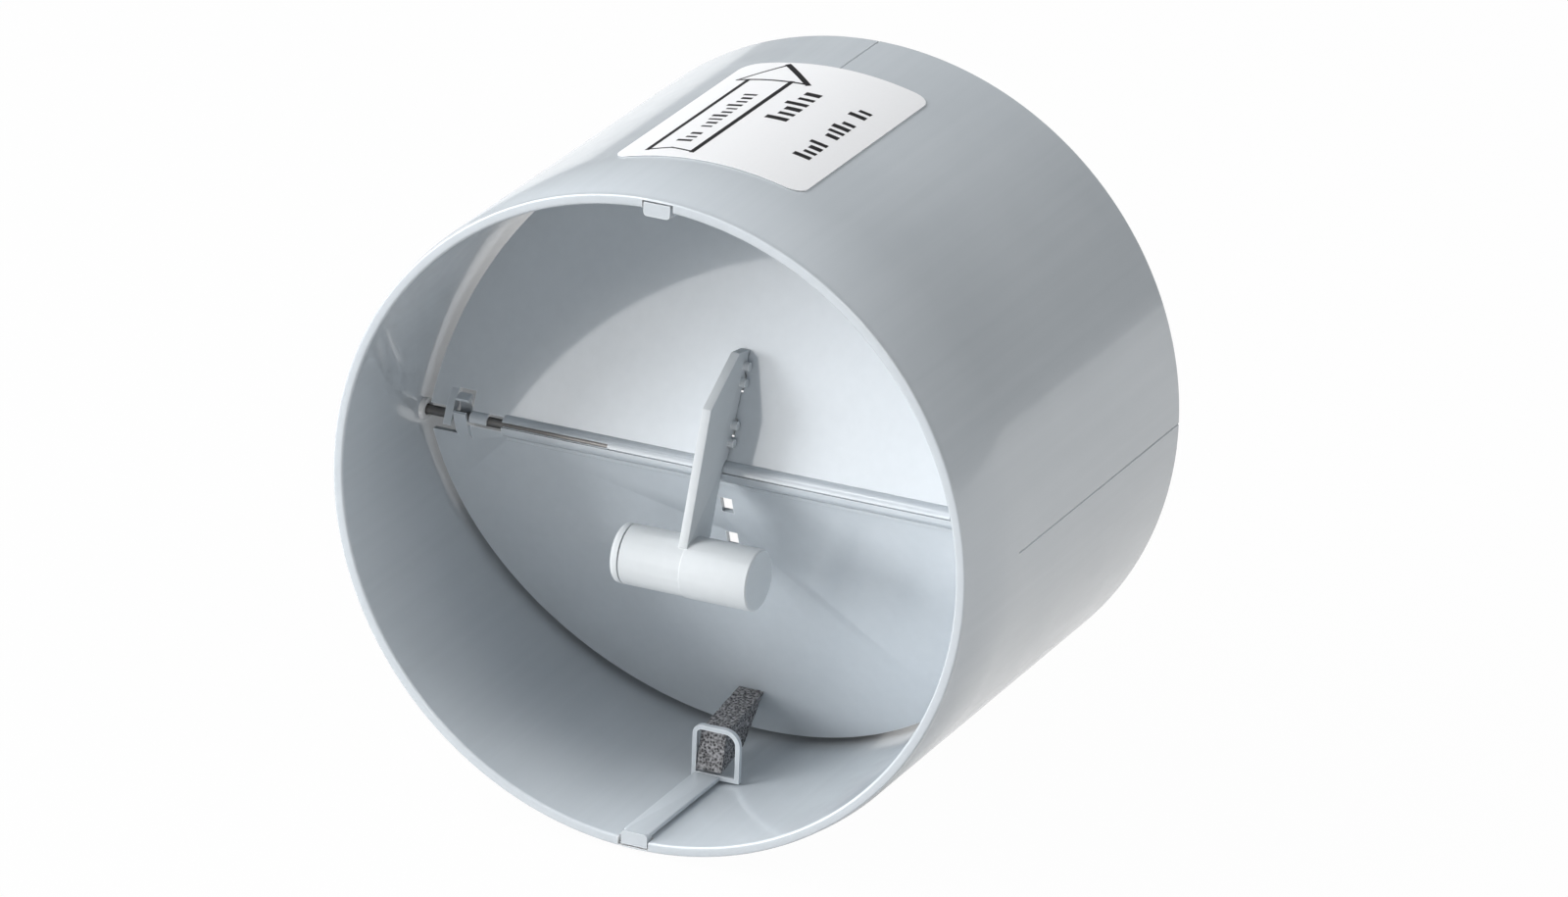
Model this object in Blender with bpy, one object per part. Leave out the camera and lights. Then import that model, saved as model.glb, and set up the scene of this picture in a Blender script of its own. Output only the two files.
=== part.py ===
"""Backdraft damper for a round duct: a short plastic tube with two half-disc flaps on one hinge rod,
a counterweight on the upper flap and a foam stop for each flap.

The tube lies along Y with air flowing toward +Y, and +Z is up. The origin is the middle of the inlet rim.
"""

import math

import bmesh
import bpy
from mathutils import Matrix

MM = 0.001

# Clearances
seat_gap = 0.3 * MM
running_gap = 0.4 * MM
glue_gap = 0.1 * MM

# How far a joined shape is let into the one that it grows from
join_depth = 0.13 * MM
join_lap = 0.04 * MM

# Tube
tube_outer_radius = 62.0 * MM
tube_wall = 2.2 * MM
tube_length = 92.8 * MM
rim_fillet = 0.5 * MM
rim_relief = 0.3 * MM
rim_band_length = 1.7 * MM
rim_ramp_length = 0.7 * MM
tube_facets = 144

# Hinge: one steel rod across the tube, rings that turn on it and a half shell in front of them on each flap
hinge_from_inlet = 31.5 * MM
rod_radius = 0.9 * MM
rod_edge = 0.22 * MM
bore_clearance = 0.1 * MM
ring_wall = 0.45 * MM
shell_clearance = 0.1 * MM
shell_wall = 0.42 * MM
shell_start = math.radians(75.0)
upper_shell_lift = math.radians(12.0)
upper_shell_lift_left = math.radians(35.0)
lower_shell_lift = math.radians(4.0)
ring_window_low = math.radians(8.0)
ring_window_high = math.radians(42.0)
barrel_facets = 28

# Sockets in the tube wall, into which the rod's ends are sprung
socket_radius = 2.0 * MM
socket_reach = 0.9 * MM
socket_depth = 1.3 * MM
socket_clearance = 0.2 * MM

# Flaps
flap_thickness = 1.1 * MM
flap_edge_gap = 1.5 * MM
closed_tilt = math.radians(20.75)
lower_tilt = math.radians(20.75)
upper_tilt = math.radians(23.5)
root_beside_rod = 1.3 * MM
corner_cut = 3.9 * MM
root_bevel = 1.6 * MM
root_bead_start = 2.2 * MM
root_bead_width = 0.9 * MM
root_bead_height = 0.22 * MM
root_bead_depth = 0.33 * MM
flap_facets = 72

# Where the hinge line is divided among the two flaps, from the left
knuckle_from_wall = 6.2 * MM
ear_offset = 0.8 * MM
ear_width = 2.5 * MM
cover_length = 3.4 * MM
bare_rod_length = 3.3 * MM
lower_ring_length = 21.2 * MM
lower_tail_width = 8.0 * MM
tail_rise = 0.05 * MM

# Ear: an open hook on the lower flap, as (out of the far face, along the flap)
ear_tab_thickness = 0.6 * MM
ear_tab_top = 2.0 * MM
ear_tab_foot = 4.8 * MM
ear_tab_shoulder = 2.4 * MM
ear_back_inner = 1.5 * MM
ear_back_outer = 2.5 * MM
ear_bar_tip = 0.3 * MM
ear_bar_low = 3.3 * MM
ear_bar_high = 3.8 * MM
ear_back_foot = 2.8 * MM
ear_edge = 0.3 * MM

# Tab beside the ear, and a cover over the rod, both on the upper flap
tab_width = 1.5 * MM
tab_drop = 2.1 * MM
cover_lift = math.radians(-12.0)

# Counterweight arm, in the upper flap's own plane: along the flap and out of it
arm_thickness = 1.75 * MM
arm_foot_end = 22.0 * MM
arm_top_along = 20.9 * MM
arm_top_out = 4.9 * MM
arm_corner_along = 10.0 * MM
arm_corner_out = 12.5 * MM
arm_low_along = -14.8 * MM
arm_low_out = 10.8 * MM
arm_back_along = -12.0 * MM
arm_back_out = 1.5 * MM
arm_back_angle = math.radians(191.5)
arm_edge = 0.12 * MM
peg_along = (7.9 * MM, 16.0 * MM)
peg_width = 1.7 * MM
peg_length = 2.8 * MM
peg_clearance = 0.3 * MM
barb_overhang = 0.35 * MM
barb_thickness = 0.8 * MM
foot_pad_along = (5.0 * MM, 8.2 * MM, 15.9 * MM, 18.9 * MM)
foot_pad_radius = 0.8 * MM
foot_pad_reach = 1.1 * MM
foot_pad_rise = 0.15 * MM

# Weight barrel at the end of the arm
weight_along = -17.8 * MM
weight_out = 5.85 * MM
barrel_radius_left = 5.5 * MM
barrel_radius_right = 5.65 * MM
barrel_left_end = 11.6 * MM
barrel_right_end = 13.6 * MM
barrel_shell = 0.9 * MM
barrel_edge = 0.27 * MM
barrel_seam = 0.45 * MM
barrel_seam_step = 0.15 * MM
cap_length = 1.6 * MM
cap_rounding = 0.9 * MM
plug_length = 1.6 * MM
slug_edge = 0.4 * MM
weight_facets = 48

# Stop rails: a strip along the wall, hooked in the inlet rim, with an arch for the foam
rail_width = 5.1 * MM
rail_offset = 0.45 * MM
rail_thickness = 1.05 * MM
rail_edge = 0.25 * MM
hook_depth = 2.0 * MM
hook_skin = 0.7 * MM
hook_slot = 0.6 * MM
hook_rounding = 0.7 * MM
rail_end = 30.9 * MM
arch_depth = 1.0 * MM
arch_bar = 0.85 * MM
arch_rounding_left = 1.8 * MM
arch_rounding_right = 3.0 * MM
arch_left = 3.6 * MM
arch_right = 5.8 * MM
arch_height = 10.6 * MM

# Foam stops, set a little askew: how far each corner lies from the wall or behind the inlet rim
foam_left = 2.45 * MM
foam_right = 2.6 * MM
foam_skew = 1.2 * MM
foam_from_wall = 2.1 * MM
foam_height = 7.35 * MM
foam_front_low = 29.4 * MM
foam_front_high = 31.0 * MM
foam_rise = 1.2 * MM
foam_back_low = 41.0 * MM
foam_back_lift = 0.9 * MM

# Label on top of the tube
label_from_inlet = 20.8 * MM
label_length = 54.5 * MM
label_half_angle = math.radians(17.2)
label_thickness = 0.2 * MM
label_corner = 3.0 * MM
label_trim_reach = 6.0 * MM
label_facets = 28

# Worked out from the sizes above
tube_inner_radius = tube_outer_radius - tube_wall
inlet_y = 0.0
outlet_y = inlet_y + tube_length
hinge_y = inlet_y + hinge_from_inlet
half_thickness = flap_thickness / 2
bore_radius = rod_radius + bore_clearance
ring_radius = bore_radius + ring_wall
shell_inner_radius = ring_radius + shell_clearance
shell_radius = shell_inner_radius + shell_wall
knuckle_end_x = tube_inner_radius - knuckle_from_wall
flap_edge_radius = tube_inner_radius - flap_edge_gap
flap_length = flap_edge_radius / math.cos(closed_tilt)
root_at_ear = math.hypot(ear_back_outer, ear_bar_high) + running_gap
root_in_shell = shell_inner_radius + join_lap
root_at_tail = shell_radius + tail_rise + running_gap
root_far = root_in_shell + root_bevel
edge_slant = flap_thickness * math.tan(closed_tilt)
foot_out = half_thickness + seat_gap
rail_back_radius = tube_inner_radius - seat_gap
rail_front_radius = rail_back_radius - rail_thickness
arch_top = tube_inner_radius - arch_height
foam_low = tube_inner_radius - foam_from_wall
foam_high = foam_low - foam_height


def clear_scene():
    for item in list(bpy.data.objects):
        bpy.data.objects.remove(item, do_unlink=True)


def make_material(name, colour, roughness, metallic=0.0):
    material = bpy.data.materials.new(name)
    material.use_nodes = True
    shader = material.node_tree.nodes["Principled BSDF"]
    shader.inputs["Base Color"].default_value = (*colour, 1.0)
    shader.inputs["Roughness"].default_value = roughness
    shader.inputs["Metallic"].default_value = metallic
    return material


def make_object(name, mesh_builder, material=None, parent=None, sharp_angle=35.0):
    """Turn a bmesh into a named object with outward faces and smooth shading on its round sides."""
    bmesh.ops.remove_doubles(mesh_builder, verts=mesh_builder.verts, dist=1e-7)
    bmesh.ops.recalc_face_normals(mesh_builder, faces=mesh_builder.faces)
    mesh = bpy.data.meshes.new(name)
    mesh_builder.to_mesh(mesh)
    mesh_builder.free()
    mesh.shade_smooth()
    mesh.set_sharp_from_angle(angle=math.radians(sharp_angle))
    item = bpy.data.objects.new(name, mesh)
    bpy.context.scene.collection.objects.link(item)
    if material is not None:
        mesh.materials.append(material)
    item.parent = parent
    return item


def make_tool(name, mesh_builder, parent=None):
    """A shape that only cuts or extends another one."""
    item = make_object(name, mesh_builder, parent=parent)
    item.hide_render = True
    item.display_type = "WIRE"
    return item


def combine(target, tool, operation):
    modifier = target.modifiers.new(tool.name, "BOOLEAN")
    modifier.operation = operation
    modifier.solver = "EXACT"
    modifier.object = tool


def soften(target, width, angle=40.0, segments=2):
    modifier = target.modifiers.new("soft_edges", "BEVEL")
    modifier.width = width
    modifier.segments = segments
    modifier.limit_method = "ANGLE"
    modifier.angle_limit = math.radians(angle)


def box_shape(low, high):
    builder = bmesh.new()
    bmesh.ops.create_cube(builder, size=1.0)
    for vertex in builder.verts:
        for axis in range(3):
            share = vertex.co[axis] + 0.5
            vertex.co[axis] = low[axis] + share * (high[axis] - low[axis])
    return builder


def rod_shape(radius, start_x, end_x, facets, centre=(0.0, 0.0)):
    """A cylinder along X. The centre is given as (y, z)."""
    builder = bmesh.new()
    bmesh.ops.create_cone(
        builder, cap_ends=True, segments=facets, radius1=radius, radius2=radius, depth=end_x - start_x
    )
    turn = Matrix.Rotation(math.pi / 2, 4, "Y")
    place = Matrix.Translation(((start_x + end_x) / 2, centre[0], centre[1]))
    bmesh.ops.transform(builder, matrix=place @ turn, verts=builder.verts)
    return builder


def prism_x(outline, start_x, end_x):
    """Extrude a closed (y, z) outline along X."""
    builder = bmesh.new()
    vertices = [builder.verts.new((start_x, y, z)) for y, z in outline]
    face = builder.faces.new(vertices)
    grown = bmesh.ops.extrude_face_region(builder, geom=[face])
    moved = [item for item in grown["geom"] if isinstance(item, bmesh.types.BMVert)]
    bmesh.ops.translate(builder, verts=moved, vec=(end_x - start_x, 0.0, 0.0))
    return builder


def spin_about_y(profile, facets, start=0.0, sweep=2 * math.pi):
    """Turn a closed (radius, y) profile about the tube's axis, from an angle that starts at the top."""
    builder = bmesh.new()
    closed = abs(sweep - 2 * math.pi) < 1e-9
    rings = []
    for step in range(facets if closed else facets + 1):
        angle = start + sweep * step / facets
        ring = [builder.verts.new((r * math.sin(angle), y, r * math.cos(angle))) for r, y in profile]
        rings.append(ring)
    pairs = list(zip(rings, rings[1:]))
    if closed:
        pairs.append((rings[-1], rings[0]))
    count = len(profile)
    for near, far in pairs:
        for index in range(count):
            following = (index + 1) % count
            builder.faces.new((near[index], near[following], far[following], far[index]))
    if not closed:
        builder.faces.new(rings[0])
        builder.faces.new(rings[-1])
    return builder


def arc_points(centre, radius, start, end, steps):
    points = []
    for step in range(steps + 1):
        angle = start + (end - start) * step / steps
        points.append((centre[0] + radius * math.cos(angle), centre[1] + radius * math.sin(angle)))
    return points


def corner_arc(corner, toward_start, toward_end, radius, steps=3):
    """Round a right-angled corner, given the unit steps back along its two sides."""
    centre = (
        corner[0] + radius * (toward_start[0] + toward_end[0]),
        corner[1] + radius * (toward_start[1] + toward_end[1]),
    )
    points = []
    for step in range(steps + 1):
        angle = (math.pi / 2) * step / steps
        along_start = -radius * math.sin(angle)
        along_end = -radius * math.cos(angle)
        points.append(
            (
                centre[0] + along_end * toward_end[0] + along_start * toward_start[0],
                centre[1] + along_end * toward_end[1] + along_start * toward_start[1],
            )
        )
    return points


# Tube with its rod sockets and rim notches

def tube_profile():
    band_radius = tube_outer_radius - rim_relief
    points = corner_arc((tube_inner_radius, inlet_y), (0, 1), (1, 0), rim_fillet)
    points.append((band_radius, inlet_y))
    points.append((band_radius, inlet_y + rim_band_length))
    points.append((tube_outer_radius, inlet_y + rim_band_length + rim_ramp_length))
    points.append((tube_outer_radius, outlet_y - rim_relief))
    points.append((tube_outer_radius - rim_relief, outlet_y))
    points += corner_arc((tube_inner_radius, outlet_y), (1, 0), (0, -1), rim_fillet)
    return points


def build_tube(material):
    tube = make_object("housing_tube", spin_about_y(tube_profile(), tube_facets), material)
    sunk = tube_wall / 2
    socket_inner_x = tube_inner_radius - socket_reach
    for side, name in ((-1, "left"), (1, "right")):
        ends = sorted((side * socket_inner_x, side * (tube_inner_radius + sunk)))
        socket = rod_shape(socket_radius, *ends, barrel_facets, (hinge_y, 0.0))
        combine(tube, make_tool(f"{name}_socket", socket), "UNION")
        ends = sorted((side * (socket_inner_x - sunk), side * (tube_inner_radius + socket_depth)))
        bore = rod_shape(rod_radius + socket_clearance, *ends, barrel_facets, (hinge_y, 0.0))
        combine(tube, make_tool(f"{name}_socket_bore", bore), "DIFFERENCE")
    half = rail_width / 2
    for side, name in ((-1, "bottom"), (1, "top")):
        heights = sorted((side * (tube_inner_radius - tube_wall), side * (tube_outer_radius - hook_skin)))
        middle = side * rail_offset
        left = middle - half - (hook_slot if side < 0 else seat_gap)
        right = middle + half + (hook_slot if side > 0 else seat_gap)
        notch = box_shape(
            (left, inlet_y - tube_wall, heights[0]), (right, inlet_y + hook_depth + seat_gap, heights[1])
        )
        combine(tube, make_tool(f"{name}_rim_notch", notch), "DIFFERENCE")
    return tube


# Hinge line, in each flap's own frame: y out of the far face, z along the flap

ear_start_x = knuckle_end_x - ear_offset
ear_end_x = ear_start_x - ear_width
cover_end_x = ear_end_x - running_gap - cover_length
shell_left_x = cover_end_x - bare_rod_length
ring_step_x = shell_left_x - lower_ring_length
tail_start_x = knuckle_end_x - lower_tail_width


def root_steps(owner):
    """Where the plate starts along its length, as (start x, end x, start, is it joined to a shell)."""
    room = running_gap if owner == "upper" else 0.0
    near_ear = root_at_ear if owner == "upper" else root_in_shell
    steps = [(-ear_start_x - room, -ear_end_x + room, near_ear, False)]
    steps.append((-ear_end_x + room, -shell_left_x, root_beside_rod, False))
    if owner == "upper":
        steps.append((-shell_left_x, tail_start_x - running_gap, root_in_shell, True))
        steps.append((tail_start_x - running_gap, knuckle_end_x, root_at_tail, False))
    else:
        steps.append((-shell_left_x, knuckle_end_x, root_in_shell, True))
    return steps


def turned_steps(steps):
    """The same list seen from the other side, for the flap that is turned round about Y."""
    return [(-end, -start, root, joined) for start, end, root, joined in reversed(steps)]


def flap_rings(steps):
    """Near and far outlines of a flap, as (x, along) points with the same count."""
    start = math.asin(corner_cut / flap_length)
    end = math.pi - math.asin(root_beside_rod / flap_length)
    near = []
    far = []
    for step in range(flap_facets + 1):
        angle = start + (end - start) * step / flap_facets
        x = flap_edge_radius * math.cos(angle)
        along = flap_length * math.sin(angle)
        near.append((x, along))
        far.append((x, along + edge_slant))
    near.append((steps[0][0], root_beside_rod))
    far.append((steps[0][0], root_beside_rod + edge_slant))
    for begin, finish, root, _ in steps:
        for x in (begin, finish):
            near.append((x, root))
            far.append((x, root + edge_slant if root > root_far else root_far))
    near.append((steps[-1][1], corner_cut))
    far.append((steps[-1][1], corner_cut + edge_slant))
    return near, far


def flap_plate(steps):
    near, far = flap_rings(steps)
    builder = bmesh.new()
    front = [builder.verts.new((x, -half_thickness, along)) for x, along in near]
    back = [builder.verts.new((x, half_thickness, along)) for x, along in far]
    builder.faces.new(front)
    builder.faces.new(list(reversed(back)))
    count = len(front)
    for index in range(count):
        following = (index + 1) % count
        builder.faces.new((front[index], back[index], back[following], front[following]))
    return builder


def sector_shape(inner, outer, first, last, start_x, end_x):
    """Part of a pipe along X between two angles, counted from +y towards +z."""
    steps = max(3, round(barrel_facets * abs(last - first) / (2 * math.pi)))
    outline = arc_points((0.0, 0.0), outer, first, last, steps)
    outline += arc_points((0.0, 0.0), inner, last, first, steps)
    return prism_x(outline, start_x, end_x)


def ear_shape(start_x, end_x):
    tab_back = -bore_radius
    tab_front = tab_back - ear_tab_thickness
    outline = [
        (-half_thickness + join_depth, ear_tab_foot),
        (-half_thickness, ear_tab_foot),
        (tab_front, ear_tab_shoulder),
        (tab_front, -ear_tab_top),
        (tab_back, -ear_tab_top),
    ]
    outline += arc_points((0.0, 0.0), bore_radius, math.pi, 0.0, 10)
    outline += [
        (ear_back_inner, -bore_radius),
        (ear_back_inner, -ear_bar_low),
        (ear_bar_tip, -ear_bar_low),
        (ear_bar_tip, -ear_bar_high),
        (ear_back_outer - ear_edge, -ear_bar_high),
        (ear_back_outer, -ear_bar_low),
        (ear_back_outer, half_thickness),
        (half_thickness, ear_back_foot),
        (half_thickness - join_depth, ear_tab_foot),
    ]
    return prism_x(outline, start_x, end_x)


def tab_shape(start_x, end_x):
    """A tab that hangs in front of the rod."""
    tab_back = -bore_radius
    tab_front = tab_back - ear_tab_thickness
    outline = [
        (-half_thickness + join_depth, ear_tab_foot),
        (-half_thickness, ear_tab_foot),
        (tab_front, ear_tab_shoulder),
        (tab_front, -tab_drop),
        (tab_back, -tab_drop),
    ]
    outline += arc_points((0.0, 0.0), bore_radius, math.pi, math.pi / 2, 5)
    outline.append((half_thickness - join_depth, bore_radius + ear_tab_thickness))
    outline.append((half_thickness - join_depth, ear_tab_foot))
    return prism_x(outline, start_x, end_x)


def build_flap(owner, material, parent):
    """One flap: plate, front half shell and rings on the rod, with a tab or an ear at the left end."""
    steps = root_steps(owner)
    if owner == "lower":
        steps = turned_steps(steps)
    flap = make_object(f"{owner}_flap", flap_plate(steps), material, parent)
    tilt = upper_tilt if owner == "upper" else lower_tilt

    def extend(name, shape, operation="UNION"):
        combine(flap, make_tool(f"{owner}_{name}", shape, parent), operation)

    if owner == "upper":
        right = tail_start_x - running_gap
        left_end = math.pi + tilt - upper_shell_lift_left
        right_end = math.pi + tilt - upper_shell_lift
        left_shell = sector_shape(
            shell_inner_radius, shell_radius, shell_start, left_end, -shell_left_x, -ring_step_x
        )
        extend("left_shell", left_shell)
        right_shell = sector_shape(
            bore_radius, shell_radius, shell_start, right_end, -ring_step_x - join_lap, right
        )
        extend("right_shell", right_shell)
        cover_start = -ear_end_x + running_gap
        cover_angle = math.pi + tilt - cover_lift
        cover = sector_shape(bore_radius, ring_radius, shell_start, cover_angle, cover_start, -cover_end_x)
        extend("cover", cover)
        tab_end = -ear_start_x - running_gap
        extend("tab", tab_shape(tab_end - tab_width, tab_end))
        ring_start = -ring_step_x + running_gap / 2
        extend("ring", rod_shape(ring_radius, ring_start, right - shell_clearance, barrel_facets))
        bore = rod_shape(bore_radius, -tube_outer_radius, tube_outer_radius, barrel_facets)
        extend("bore", bore, "DIFFERENCE")
    else:
        shell_end = math.pi + tilt + lower_shell_lift
        ring_end = ring_step_x + running_gap / 2
        shell = sector_shape(
            shell_inner_radius, shell_radius, shell_start, shell_end, -tail_start_x - shell_wall, shell_left_x
        )
        extend("shell", shell)
        extend("ring", rod_shape(ring_radius, ring_end, shell_left_x - shell_clearance, barrel_facets))
        inset = ring_window_low / 2
        joint_radius = shell_inner_radius + shell_wall / 2
        joint_ends = (ring_end, shell_left_x - shell_clearance)
        joint = sector_shape(bore_radius, joint_radius, shell_start + inset, shell_end - inset, *joint_ends)
        extend("ring_joint", joint)
        tail_radius = shell_radius + tail_rise
        extend("tail", rod_shape(tail_radius, -knuckle_end_x - tail_rise, -tail_start_x, barrel_facets))
        bead_front = -half_thickness - root_bead_height
        bead_end = root_bead_start + root_bead_width
        bead = [
            (-half_thickness + root_bead_depth, root_bead_start),
            (bead_front, root_bead_start),
            (bead_front, bead_end - root_bead_height),
            (-half_thickness + join_depth, bead_end + root_bead_height),
            (-half_thickness + root_bead_depth, bead_end),
        ]
        extend("root_bead", prism_x(bead, -knuckle_end_x + seat_gap, shell_left_x - seat_gap))
        extend("bore", rod_shape(bore_radius, -tube_outer_radius, ear_end_x, barrel_facets), "DIFFERENCE")
        extend("ear", ear_shape(ear_end_x, ear_start_x))
        window = sector_shape(
            bore_radius - seat_gap,
            shell_inner_radius,
            math.pi + tilt + ring_window_low,
            math.pi + tilt + ring_window_high,
            ring_end - running_gap,
            shell_left_x + running_gap,
        )
        extend("ring_window", window, "DIFFERENCE")
    hole_across = peg_width / 2 + peg_clearance
    hole_along = peg_length / 2 + peg_clearance
    for number, along in enumerate(peg_along):
        hole = box_shape(
            (-hole_across, -flap_thickness, along - hole_along),
            (hole_across, flap_thickness, along + hole_along),
        )
        extend(f"peg_hole_{number}", hole, "DIFFERENCE")
    return flap


def build_rod(material):
    half_length = tube_inner_radius + socket_depth - seat_gap
    shape = rod_shape(rod_radius, -half_length, half_length, barrel_facets)
    rod = make_object("hinge_rod", shape, material)
    rod.location = (0.0, hinge_y, 0.0)
    soften(rod, rod_edge)
    return rod


# Counterweight: arm with its barrel, steel slug and end cap

def arm_outline():
    """Outline in (y, z) of the upper flap's frame, where -y is out of the near face and z runs along."""
    clear = shell_radius + seat_gap
    foot_start = math.sqrt(clear**2 - foot_out**2)
    end_angle = math.atan2(foot_start, -foot_out)
    points = [
        (-foot_out, arm_foot_end),
        (-arm_top_out, arm_top_along),
        (-arm_corner_out, arm_corner_along),
        (-arm_low_out, arm_low_along),
        (-weight_out, weight_along),
        (-arm_back_out, arm_back_along),
    ]
    points += arc_points((0.0, 0.0), clear, arm_back_angle, end_angle, 6)
    return points


def barrel_shape():
    """The arm's cross barrel before it is hollowed, slightly wider on its right half."""
    profile = [
        (0.0, barrel_right_end),
        (barrel_radius_right - barrel_edge, barrel_right_end),
        (barrel_radius_right, barrel_right_end - barrel_edge),
        (barrel_radius_right, barrel_seam),
        (barrel_radius_left, barrel_seam - barrel_seam_step),
        (barrel_radius_left, -barrel_left_end),
        (0.0, -barrel_left_end),
    ]
    return turned_about_x(profile)


def turned_about_x(profile):
    """Turn an open (radius, x) profile, which starts and ends on the axis, about the barrel's axis."""
    builder = bmesh.new()
    vertices = [builder.verts.new((x, -weight_out, weight_along + radius)) for radius, x in profile]
    edges = [builder.edges.new(pair) for pair in zip(vertices, vertices[1:])]
    bmesh.ops.spin(
        builder,
        geom=vertices + edges,
        cent=(0.0, -weight_out, weight_along),
        axis=(1.0, 0.0, 0.0),
        angle=2 * math.pi,
        steps=weight_facets,
        use_merge=True,
    )
    bmesh.ops.remove_doubles(builder, verts=builder.verts, dist=1e-6)
    return builder


def build_arm(material, parent):
    half = arm_thickness / 2
    arm = make_object("counterweight_arm", prism_x(arm_outline(), -half, half), material, parent)
    soften(arm, arm_edge)
    combine(arm, make_tool("arm_barrel", barrel_shape(), parent), "UNION")
    inner = barrel_radius_left - barrel_shell
    hollow_ends = (-barrel_left_end - seat_gap, barrel_right_end - barrel_shell)
    hollow = rod_shape(inner, *hollow_ends, weight_facets, (-weight_out, weight_along))
    combine(arm, make_tool("arm_barrel_hollow", hollow, parent), "DIFFERENCE")
    reach = half + foot_pad_reach
    for number, along in enumerate(foot_pad_along):
        centre = (-foot_out - foot_pad_rise - foot_pad_radius, along)
        pad = rod_shape(foot_pad_radius, -reach, reach, 16, centre)
        combine(arm, make_tool(f"arm_foot_pad_{number}", pad, parent), "UNION")
    barb_near = half_thickness + seat_gap
    for number, along in enumerate(peg_along):
        hook = along + peg_length / 2 + peg_clearance + barb_overhang
        outline = [
            (-foot_out - foot_pad_radius, along - peg_length / 2),
            (-foot_out - foot_pad_radius, along + peg_length / 2),
            (barb_near, along + peg_length / 2),
            (barb_near, hook),
            (barb_near + barb_thickness, along + peg_length / 2),
            (barb_near + barb_thickness, along - peg_length / 2),
        ]
        peg = prism_x(outline, -peg_width / 2, peg_width / 2)
        combine(arm, make_tool(f"arm_peg_{number}", peg, parent), "UNION")
    return arm


def build_slug(material, parent):
    radius = barrel_radius_left - barrel_shell - seat_gap
    start = -barrel_left_end + plug_length + seat_gap
    end = barrel_right_end - barrel_shell - seat_gap
    profile = [(0.0, end), (radius - slug_edge, end), (radius, end - slug_edge), (radius, start + slug_edge)]
    profile += [(radius - slug_edge, start), (0.0, start)]
    return make_object("steel_weight", turned_about_x(profile), material, parent)


def build_cap(material, parent):
    plug_radius = barrel_radius_left - barrel_shell - seat_gap
    flange_x = -barrel_left_end - seat_gap
    outer_x = flange_x - cap_length
    profile = [(0.0, flange_x + plug_length + seat_gap), (plug_radius, flange_x + plug_length + seat_gap)]
    profile += [(plug_radius, flange_x), (barrel_radius_left, flange_x)]
    centre = (barrel_radius_left - cap_rounding, outer_x + cap_rounding)
    profile += arc_points(centre, cap_rounding, 0.0, -math.pi / 2, 5)
    profile.append((0.0, outer_x))
    return make_object("weight_cap", turned_about_x(profile), material, parent)


# Stop rails and foam stops, made at the bottom of the tube and turned half round for the top

def arch_outline(left, right, foot, top, rounding_left, rounding_right, steps=6):
    """An upside-down U as (x, z) points, from its left foot to its right foot."""
    points = [(left, foot)]
    centre = (left + rounding_left, top - rounding_left)
    points += arc_points(centre, rounding_left, math.pi, math.pi / 2, steps)
    centre = (right - rounding_right, top - rounding_right)
    points += arc_points(centre, rounding_right, math.pi / 2, 0.0, steps)
    points.append((right, foot))
    return points


def prism_y(outline, start_y, end_y):
    """Extrude a closed (x, z) outline along Y."""
    builder = bmesh.new()
    vertices = [builder.verts.new((x, start_y, z)) for x, z in outline]
    face = builder.faces.new(vertices)
    grown = bmesh.ops.extrude_face_region(builder, geom=[face])
    moved = [item for item in grown["geom"] if isinstance(item, bmesh.types.BMVert)]
    bmesh.ops.translate(builder, verts=moved, vec=(0.0, end_y - start_y, 0.0))
    return builder


def wall_height(x, radius):
    """How low a round wall lies at a given distance from the middle."""
    return -math.sqrt(radius**2 - x**2)


def build_rail(name, material, parent):
    start = inlet_y + hook_depth / 2
    end = inlet_y + rail_end
    left = -rail_offset - rail_width / 2
    right = -rail_offset + rail_width / 2
    strip_back = wall_height(left, rail_back_radius)
    strip = box_shape((left, start, strip_back), (right, end, -rail_front_radius))
    rail = make_object(name, strip, material, parent)
    soften(rail, rail_edge)
    hook_low = -(tube_outer_radius - hook_skin - seat_gap)
    hook_high = -rail_front_radius
    outline = [(left, hook_low), (right, hook_low)]
    hook_corner = hook_high - hook_rounding
    outline += arc_points((right - hook_rounding, hook_corner), hook_rounding, 0.0, math.pi / 2, 3)
    outline += arc_points((left + hook_rounding, hook_corner), hook_rounding, math.pi / 2, math.pi, 3)
    hook = prism_y(outline, inlet_y, inlet_y + hook_depth)
    combine(rail, make_tool(f"{name}_hook", hook, parent), "UNION")
    foot = wall_height(arch_right, rail_back_radius)
    outer = arch_outline(-arch_left, arch_right, foot, -arch_top, arch_rounding_left, arch_rounding_right)
    inner = arch_outline(
        -arch_left + arch_bar,
        arch_right - arch_bar,
        foot,
        -arch_top - arch_bar,
        arch_rounding_left - arch_bar,
        arch_rounding_right - arch_bar,
    )
    arch = prism_y(outer + list(reversed(inner)), end - arch_depth, end)
    combine(rail, make_tool(f"{name}_arch", arch, parent), "UNION")
    sill = box_shape(
        (-arch_left, end - arch_depth, foot),
        (arch_right, end, foot + arch_bar),
    )
    combine(rail, make_tool(f"{name}_sill", sill, parent), "UNION")
    return rail


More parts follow.
